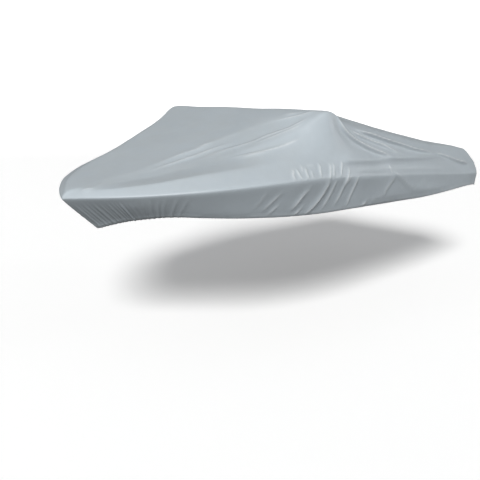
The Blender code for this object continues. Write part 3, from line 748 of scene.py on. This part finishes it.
def fold_curve(points):
    """A path's points joined by a smooth curve: between two points it is the cubic that
    runs parallel at each to the line between its neighbours."""
    ends = np.concatenate([[2 * points[0] - points[1]], points, [2 * points[-1] - points[-2]]])
    t = np.linspace(0.0, 1.0, FOLD_CURVE_STEPS, endpoint=False)[:, None]
    pieces = []
    for before, start, end, after in zip(ends, ends[1:], ends[2:], ends[3:]):
        leave, arrive = 0.5 * (end - before), 0.5 * (after - start)
        turning = (t**3 - 2 * t**2 + t) * leave + (t**3 - t**2) * arrive
        pieces.append(start + smooth_step(t) * (end - start) + turning)
    return np.concatenate([*pieces, points[-1:]])


def curve_distance(where, curve):
    """Signed distance of each point from a curve, positive on its left, and the share of
    the curve's length at its nearest point."""
    best = np.full(len(where), np.inf)
    signed = np.zeros(len(where))
    share = np.zeros(len(where))
    lengths = np.linalg.norm(np.diff(curve, axis=0), axis=1)
    passed = np.concatenate([[0.0], np.cumsum(lengths)])
    for start, end, length, before in zip(curve, curve[1:], lengths, passed):
        line = (end - start) / length
        away = where - start
        along = np.clip(away @ line, 0.0, length)
        distance = np.linalg.norm(away - along[:, None] * line, axis=1)
        near = distance < best
        side = np.sign(line[0] * away[:, 1] - line[1] * away[:, 0])
        best = np.where(near, distance, best)
        signed = np.where(near, side * distance, signed)
        share = np.where(near, (before + along) / passed[-1], share)
    return signed, share


def fold_lift(where, fold):
    """Lift of one fold at points of its own plane, and how worn its crest is there, which is
    also a painted highlight. Across it the lift falls away from the crest as
    exp(-(sqrt(d^2 + c^2) - c) / w), and along it grows and dies smoothly. A wider bell, a
    share as high, is taken off, which draws the cloth beside it down. Wear, with its painted
    highlight, is a narrow bell on the crest."""
    names = ("height", "left", "right", "crest")
    height, left, right, crest = (fold[name] * MILLIMETRE for name in names)
    curve = fold_curve(np.array(fold["path"]) * MILLIMETRE)
    wide = max(left, right)
    margin = FOLD_REACHES * wide
    inside = (where > curve.min(0) - margin) & (where < curve.max(0) + margin)
    near = np.all(inside, axis=1)
    signed, share = curve_distance(where[near], curve)
    blunt = np.sqrt(signed**2 + crest**2) - crest
    across = np.exp(-blunt / np.where(signed > 0.0, left, right))
    across -= fold["hollow"] * bell(signed, HOLLOW_WIDTHS * wide)
    grown = smooth_step(share / fold["grow"]) * smooth_step((1.0 - share) / fold["die"])
    lift, wear_and_highlight = np.zeros(len(where)), np.zeros(len(where))
    lift[near] = height * across * grown
    full = min(height / FULL_WEAR_AND_HIGHLIGHT_HEIGHT, 1.0)
    # Crest wear, which also serves as a painted highlight along the crest.
    wear_and_highlight[near] = fold["crest_highlight_and_wear"] * full * grown * bell(signed, CREST_HALF_WIDTH)
    return lift, wear_and_highlight


def gather_lift(from_tip, share):
    """Lift of the gathers at the bow: bells across lines that run straight down to the
    hem, growing from nothing near the rim to full height at the hem. Distances from the
    tip are positive to port."""
    lift = np.zeros_like(from_tip)
    grown = smooth_step((share - GATHER_START) / GATHER_RISE)
    for side, rows in ((1.0, PORT_GATHERS), (-1.0, STARBOARD_GATHERS)):
        for row in rows:
            place, height, width = np.array(row) * MILLIMETRE
            lift += height * bell(from_tip - side * place, width) * grown
    return lift


def hem_lift(stations, up):
    """Lift of the hem at a distance up from it: the step of its turned band and the bulge
    of its cord, less the tuck that the cord makes, tuck * (1 - up / reach)^2."""
    tuck = soft_column(TUCK_COLUMNS, TUCKS, "tuck", stations, LEAN_SOFTNESS)
    reach = soft_column(TUCK_COLUMNS, TUCKS, "reach", stations, LEAN_SOFTNESS)
    band = HEM_STEP * (up < HEM_WIDTH) + HEM_CORD * bell(up - CORD_UP, CORD_UP)
    return band - tuck * np.clip(1.0 - up / reach, 0.0, 1.0) ** 2


def slow_waves(points):
    """Low swells and hollows of the whole sheet: the sum of cos(k . p + phase) over some
    waves, each as high as the same share of its length. They are seeded."""
    rng = np.random.default_rng(WAVE_SEED)
    toward = unit(rng.normal(size=(WAVE_COUNT, 3)))
    lengths = rng.uniform(*WAVE_LENGTHS, WAVE_COUNT)
    phases = rng.uniform(0.0, 2.0 * np.pi, WAVE_COUNT)
    turns = points @ (toward * (2.0 * np.pi / lengths)[:, None]).T + phases
    return np.cos(turns) @ (WAVE_SHARE * lengths)


def top_map(points, rows, columns):
    """UV of the top in metres over the cloth: u is the length along the centre line, and
    v the length of each row out from it, kept clear of the skirt's."""
    grid = points[: rows * columns].reshape(rows, columns, 3)
    middle = sum(PORT_COLUMNS)
    spine = np.linalg.norm(np.diff(grid[:, middle], axis=0), axis=1)
    u = np.concatenate([[0.0], np.cumsum(spine)])
    steps = np.linalg.norm(np.diff(grid, axis=1), axis=2)
    v = np.concatenate([np.zeros((rows, 1)), np.cumsum(steps, axis=1)], axis=1)
    v = TOP_MAP_START + v - v[:, middle : middle + 1]
    return np.stack([np.broadcast_to(u[:, None], v.shape), v], axis=-1).reshape(-1, 2)


def skirt_map(girths, ups):
    """UV of the skirt's faces, corner by corner: u is the girth round the hem, carried on
    past the start where a face closes the loop, and v the length up from the hem."""
    u = np.where(girths < 0.0, 2.0 * HALF_GIRTH + girths, girths)
    ahead = np.roll(u, -1, axis=1)
    ahead = np.where(ahead < u - HALF_GIRTH, ahead + 2.0 * HALF_GIRTH, ahead)
    here = np.stack([u, ups], axis=-1)
    beside = np.stack([ahead, np.roll(ups, -1, axis=1)], axis=-1)
    return np.stack([here[:-1], beside[:-1], beside[1:], here[1:]], axis=2).reshape(-1, 2)


def new_mesh(name, points, faces):
    """A smooth mesh of these points and faces."""
    mesh = bpy.data.meshes.new(name)
    mesh.from_pydata(points.tolist(), [], faces.tolist())
    mesh.shade_smooth()
    return mesh


def new_object(name, data):
    """An object in the scene."""
    made = bpy.data.objects.new(name, data)
    bpy.context.scene.collection.objects.link(made)
    return made


def cover_mesh():
    """The open sheet, as one mesh: the taut surface, lifted along its normals by its
    folds, gathers, hem and slow waves. It carries a UV map in metres over the cloth, and
    how worn the cloth is at each point, which on fold crests and the rim is also a painted
    highlight, and how level it is."""
    plan, girth = plan_grid()
    rows, columns = plan.shape[:2]
    flat = plan.reshape(-1, 2)
    skirt, stations, downs, girths = skirt_grid(girth)
    points = np.concatenate([top_points(flat), *skirt])
    loop = loop_of_edge(rows, columns)
    below = len(flat) + np.arange(stations.size).reshape(stations.shape)
    lines = [loop, *below]
    top_faces = grid_faces(rows, columns)
    bands = [
        np.stack([upper, np.roll(upper, -1), np.roll(lower, -1), lower], axis=-1)
        for upper, lower in zip(lines, lines[1:])
    ]
    faces = np.concatenate([top_faces, *bands])

    on_top, on_skirt = slice(len(flat)), slice(len(flat), None)
    side = np.concatenate([flat[:, 1], np.tile(girth, len(skirt))])
    station = np.concatenate([flat[:, 0], stations.ravel()])
    down = np.concatenate([-rim_girth(flat), downs.ravel()])
    by_rim = np.column_stack([station, down])
    lift = slow_waves(points)
    # Wear of the rim, fold crests and hem's edge; on the rim and crests it is also a painted
    # highlight.
    wear_and_highlight = RIM_WEAR_AND_HIGHLIGHT * bell(down, RIM_WEAR_AND_HIGHLIGHT_WIDTH)
    for where, here, folds in (
        (flat, on_top, TOP_FOLDS),
        (by_rim, side > 0.0, PORT_FOLDS),
        (by_rim, side < 0.0, STARBOARD_FOLDS),
    ):
        for fold in named_rows(FOLD_COLUMNS, folds, USUAL_HOLLOW_WEAR_AND_HIGHLIGHT):
            lifted, crest_wear_and_highlight = fold_lift(where[here], fold)
            lift[here] += lifted
            wear_and_highlight[here] = np.maximum(wear_and_highlight[here], crest_wear_and_highlight)
    drop = section_value("drop", stations)
    up = drop - downs
    from_tip = np.tile(np.sign(girth) * (HALF_GIRTH - np.abs(girth)), len(skirt))
    lift[on_skirt] += gather_lift(from_tip, (downs / drop).ravel())
    lift[on_skirt] += hem_lift(stations, up).ravel()
    wear_and_highlight[on_skirt] = np.maximum(wear_and_highlight[on_skirt], bell(up.ravel(), HEM_WEAR_WIDTH))

    points = points + point_normals(points, faces) * lift[:, None]
    level = np.clip(point_normals(points, faces)[:, 2], 0.0, 1.0)
    top_uv = top_map(points, rows, columns)[top_faces.ravel()]
    skirt_uv = skirt_map(np.stack([girth, *girths]), np.stack([drop[0], *up]))
    uv = np.concatenate([top_uv, skirt_uv]).astype(np.float32)
    carried = top_height(np.array([RIDGE_STATION]), np.zeros(1))[0] - CAD_THICKNESS
    mesh = new_mesh("boat_cover_cloth", points - [RIDGE_STATION, 0.0, carried], faces)
    mesh.uv_layers.new(name="cloth").data.foreach_set("uv", uv.ravel())
    for name, values in (("wear_and_highlight", wear_and_highlight), ("level", level)):
        attribute = mesh.attributes.new(name, "FLOAT", "POINT")
        attribute.data.foreach_set("value", values.astype(np.float32))
    return mesh


def new_material(name):
    """A material with its own Principled shader, and that shader."""
    material = bpy.data.materials.new(name)
    material.use_nodes = True
    return material, material.node_tree.nodes["Principled BSDF"]


def fill(tree, node, inputs):
    """Gives a node its inputs, each a value or another node's output."""
    for name, value in inputs.items():
        if isinstance(value, bpy.types.NodeSocket):
            tree.links.new(value, node.inputs[name])
        else:
            node.inputs[name].default_value = value
    return node


def add(tree, kind, inputs=None, **settings):
    """A node with these settings and inputs."""
    made = tree.nodes.new(kind)
    for name, value in settings.items():
        setattr(made, name, value)
    return fill(tree, made, inputs or {})


def maths(tree, operation, first, second=0.0):
    """One operation on two numbers."""
    return add(tree, "ShaderNodeMath", {0: first, 1: second}, operation=operation).outputs[0]


def times(tree, first, *others):
    """The product of some numbers."""
    for other in others:
        first = maths(tree, "MULTIPLY", first, other)
    return first


def ranged(tree, value, low, high, bottom, top):
    """A number carried from one range to another, and held inside it."""
    ends = {"From Min": low, "From Max": high, "To Min": bottom, "To Max": top}
    return add(tree, "ShaderNodeMapRange", {"Value": value, **ends}, clamp=True).outputs["Result"]


def mixed(tree, share, first, second, blend="MIX"):
    """Two colours mixed by a share."""
    inputs = {"Factor": share, "A": first, "B": second}
    made = add(tree, "ShaderNodeMix", inputs, data_type="RGBA", blend_type=blend)
    return made.outputs["Result"]


def noise(tree, given, kind):
    """A soft noise of this kind, from zero to one, with patches of about the given size."""
    scale = maths(tree, "DIVIDE", 1.0, given["Size"])
    inputs = {"Vector": given["Place"], "Scale": scale, **kind}
    return add(tree, "ShaderNodeTexNoise", inputs).outputs["Fac"]


def new_group(name, result, vector, *numbers):
    """A node group with a vector and some numbers as its named inputs and one number as
    its result, with its inputs by name and its end node."""
    group = bpy.data.node_groups.new(name, "ShaderNodeTree")
    group.interface.new_socket(vector, in_out="INPUT", socket_type="NodeSocketVector")
    for label in numbers:
        group.interface.new_socket(label, in_out="INPUT", socket_type="NodeSocketFloat")
    group.interface.new_socket(result, in_out="OUTPUT", socket_type="NodeSocketFloat")
    given, end = group.nodes.new("NodeGroupInput"), group.nodes.new("NodeGroupOutput")
    return group, given.outputs, end.inputs[result]


def weave_group():
    """Plain weave. Its height is (1 + sin(pi u / pitch) sin(pi v / pitch)) / 2."""
    group, given, result = new_group("woven threads", "Height", "Cloth", "Pitch")
    parts = add(group, "ShaderNodeSeparateXYZ", {0: given["Cloth"]}).outputs
    turn = maths(group, "DIVIDE", float(np.pi), given["Pitch"])
    waves = [maths(group, "SINE", times(group, parts[axis], turn)) for axis in "XY"]
    group.links.new(ranged(group, times(group, *waves), -1.0, 1.0, 0.0, 1.0), result)
    return group


def tone_group():
    """Uneven tone, a number near one: one plus the depth times a soft noise whose
    patches are about this size, from minus one at the low end of a band to one at its
    high end."""
    group, given, result = new_group("uneven tone", "Tone", "Place", "Size", "Depth")
    swing = ranged(group, noise(group, given, TONE_NOISE), *TONE_BAND, -1.0, 1.0)
    tone = maths(group, "ADD", 1.0, times(group, swing, given["Depth"]))
    group.links.new(tone, result)
    return group


def crinkle_group():
    """Fine crinkles: the height is a noise folded over at its middle, |2 n - 1| to a
    power, which leaves thin creases between low pillows of about this size."""
    group, given, result = new_group("fine crinkles", "Height", "Place", "Size")
    swing = ranged(group, noise(group, given, CRINKLE_NOISE), 0.0, 1.0, -1.0, 1.0)
    folded = maths(group, "ABSOLUTE", swing)
    group.links.new(maths(group, "POWER", folded, CRINKLE_POWER), result)
    return group


def stitch_group():
    """A row of stitches along the hem: one inside a dash of each pitch of the girth,
    within half a thread of the row's height, and zero outside."""
    inputs = ("Cloth", "Up", "Pitch", "Width")
    group, given, result = new_group("row of stitches", "Mask", *inputs)
    parts = add(group, "ShaderNodeSeparateXYZ", {0: given["Cloth"]}).outputs
    off = maths(group, "ABSOLUTE", maths(group, "SUBTRACT", parts["Y"], given["Up"]))
    off = maths(group, "DIVIDE", off, given["Width"])
    along = maths(group, "FRACT", maths(group, "DIVIDE", parts["X"], given["Pitch"]))
    middle = maths(group, "ABSOLUTE", maths(group, "SUBTRACT", along, 0.5))
    inside = ranged(group, off, *STITCH_EDGES, 1.0, 0.0)
    dash = ranged(group, middle, *STITCH_ENDS, 1.0, 0.0)
    group.links.new(times(group, inside, dash), result)
    return group


def placed(tree, group, **inputs):
    """A node group in a material, with its own values."""
    return add(tree, "ShaderNodeGroup", inputs, node_tree=group).outputs[0]


def bumped(tree, height, bump, below=None):
    """A bump of this height and strength, on top of another."""
    inputs = {"Height": height, "Distance": bump[0], "Strength": bump[1]}
    if below is not None:
        inputs["Normal"] = below
    return add(tree, "ShaderNodeBump", inputs).outputs["Normal"]


def cloth_materials():
    """The coated outer face and the plainer inner face. Both have the weave, crinkles,
    uneven tone and stitches. The outer one also has worn crests, painted paler partly as a
    highlight, and settled dust."""
    weave, tone, crinkle, stitch = weave_group(), tone_group(), crinkle_group(), stitch_group()
    made = []
    for face in named_rows(FACE_COLUMNS, FACES):
        material, shader = new_material(face["name"])
        tree = material.node_tree
        place = tree.nodes.new("ShaderNodeTexCoord").outputs["Object"]
        cloth = add(tree, "ShaderNodeUVMap", uv_map="cloth").outputs["UV"]
        clouds = placed(tree, tone, Place=place, Size=CLOUD_SIZE, Depth=face["clouds"])
        mottle = placed(tree, tone, Place=place, Size=MOTTLE_SIZE, Depth=face["mottle"])
        base = mixed(tree, 1.0, face["colour"], times(tree, clouds, mottle), "MULTIPLY")
        roughness = times(tree, mottle, face["roughness"])
        if not made:
            base, roughness = worn_highlit_and_dusty(tree, tone, place, base, roughness)
        sewn = placed(
            tree, stitch, Cloth=cloth, Up=STITCH_UP, Pitch=STITCH_PITCH, Width=STITCH_WIDTH
        )
        threads = placed(tree, weave, Cloth=cloth, Pitch=THREAD_PITCH)
        normal = bumped(tree, placed(tree, crinkle, Place=place, Size=CRINKLE_SIZE), CRINKLE_BUMP)
        normal = bumped(tree, threads, THREAD_BUMP, normal)
        look = {
            "Base Color": mixed(tree, sewn, base, THREAD_COLOUR),
            "Roughness": roughness,
            "Normal": bumped(tree, sewn, STITCH_BUMP, normal),
            "Specular IOR Level": face["specular"],
            "Sheen Weight": face["sheen"],
            "Sheen Roughness": SHEEN_ROUGHNESS,
        }
        fill(tree, shader, look)
        made.append(material)
    return made


def worn_highlit_and_dusty(tree, tone, place, base, roughness):
    """The outer face's colour and roughness with its worn crests, painted paler partly as a
    highlight, and its dust. Wear and highlight are patchy. Dust is how level the cloth is,
    to a power, times an uneven drift."""
    wear_and_highlight = add(tree, "ShaderNodeAttribute", attribute_name="wear_and_highlight").outputs["Fac"]
    level = add(tree, "ShaderNodeAttribute", attribute_name="level").outputs["Fac"]
    patchy = placed(tree, tone, Place=place, Size=WEAR_AND_HIGHLIGHT_PATCH_SIZE, Depth=WEAR_AND_HIGHLIGHT_PATCH_DEPTH)
    wear_and_highlight = times(tree, wear_and_highlight, patchy, WEAR_AND_HIGHLIGHT_SHARE)
    # Crests and rim painted paler: partly real wear, partly a painted highlight.
    base = mixed(tree, wear_and_highlight, base, WEAR_AND_HIGHLIGHT_COLOUR)
    drift = placed(tree, tone, Place=place, Size=DUST_PATCH_SIZE, Depth=DUST_PATCH_DEPTH)
    dust = times(tree, maths(tree, "POWER", level, DUST_LEVEL_POWER), drift, DUST_SHARE)
    base = mixed(tree, dust, base, DUST_COLOUR)
    polish = maths(tree, "SUBTRACT", 1.0, times(tree, wear_and_highlight, WORN_POLISH))
    roughness = times(tree, roughness, polish)
    return base, maths(tree, "ADD", roughness, times(tree, dust, DUST_ROUGHNESS))


def make_cover():
    """The cover: the sheet with its thickness."""
    cover = new_object("boat_cover_cloth", cover_mesh())
    for material in cloth_materials():
        cover.data.materials.append(material)
    wall = cover.modifiers.new("cloth thickness", "SOLIDIFY")
    wall.thickness = CLOTH_THICKNESS
    wall.offset = -1.0
    wall.material_offset = 1
    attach(cover, "root")
    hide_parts("cover_cloth")


def seen_or_lit(tree, lit, seen):
    """A colour for the light that a surface gives and another for the camera's own rays,
    with the mask of those rays."""
    rays = add(tree, "ShaderNodeLightPath").outputs["Is Camera Ray"]
    return mixed(tree, rays, lit, seen), rays


def make_floor():
    """A pale floor that turns up into a wall far behind: z = floor + rise where the
    distance out passes the level radius. It glows for the camera only."""
    level = np.linspace(0.0, FLOOR_LEVEL_RADIUS, FLOOR_RINGS[0])
    raised = np.linspace(FLOOR_RAISED_FROM, FLOOR_EDGE_RADIUS, FLOOR_RINGS[1])
    radius = np.concatenate([level, raised])
    turn = np.linspace(0.0, 2.0 * np.pi, FLOOR_SPOKES + 1)[:-1]
    rise = FLOOR_RISE * smooth_step((radius - FLOOR_LEVEL_RADIUS) / FLOOR_RISE_OVER)
    x = radius[:, None] * np.cos(turn)
    y = radius[:, None] * np.sin(turn)
    z = FLOOR_HEIGHT + np.repeat(rise[:, None], len(turn), axis=1)
    index = np.arange(x.size).reshape(x.shape)
    ahead = np.roll(index, -1, axis=1)
    faces = np.stack([index[:-1], index[1:], ahead[1:], ahead[:-1]], axis=-1).reshape(-1, 4)
    points = np.stack([x, y, z], axis=-1).reshape(-1, 3)
    floor = new_object("studio_floor", new_mesh("studio_floor", points, faces))
    material, shader = new_material("pale_floor")
    tree = material.node_tree
    colour, rays = seen_or_lit(tree, FLOOR_BOUNCE, FLOOR_SEEN)
    look = {
        "Base Color": colour,
        "Roughness": FLOOR_ROUGHNESS,
        "Emission Color": FLOOR_SEEN,
        "Emission Strength": times(tree, rays, FLOOR_GLOW),
    }
    fill(tree, shader, look)
    floor.data.materials.append(material)


def make_lights():
    """A large soft key light high behind the camera, a weak one from aft, and a faint
    even sky."""
    for row in named_rows(LIGHT_COLUMNS, LIGHTS):
        data = bpy.data.lights.new(row["name"], "SUN")
        data.angle = np.radians(row["spread"])
        data.energy = row["strength"]
        data.color = LIGHT_COLOUR
        light = new_object(row["name"], data)
        light.rotation_euler = Vector(row["toward"]).to_track_quat("Z", "Y").to_euler()
    world = bpy.data.worlds.new("studio")
    world.use_nodes = True
    tree = world.node_tree
    colour, _ = seen_or_lit(tree, SKY_LIGHT, SKY_SEEN)
    fill(tree, tree.nodes["Background"], {"Color": colour})
    bpy.context.scene.world = world


def make_camera():
    """The camera at the photograph's view: it looks along its heading, which turns from
    -X towards -Y, and dips below the horizon."""
    heading, dip, roll = np.radians([CAMERA_HEADING, CAMERA_DIP, CAMERA_ROLL])
    quarter = 0.5 * np.pi
    turned = Matrix.Rotation(quarter + heading, 4, "Z") @ Matrix.Rotation(quarter - dip, 4, "X")
    data = bpy.data.cameras.new("camera")
    data.lens = CAMERA_LENS
    data.sensor_width = CAMERA_SENSOR
    data.dof.use_dof = False
    camera = new_object("camera", data)
    rolled = turned @ Matrix.Rotation(roll, 4, "Z")
    camera.matrix_world = Matrix.Translation(CAMERA_PLACE) @ rolled
    bpy.context.scene.camera = camera


make_camera()
make_cover()
make_floor()
make_lights()
bpy.context.scene.view_settings.view_transform = "Standard"
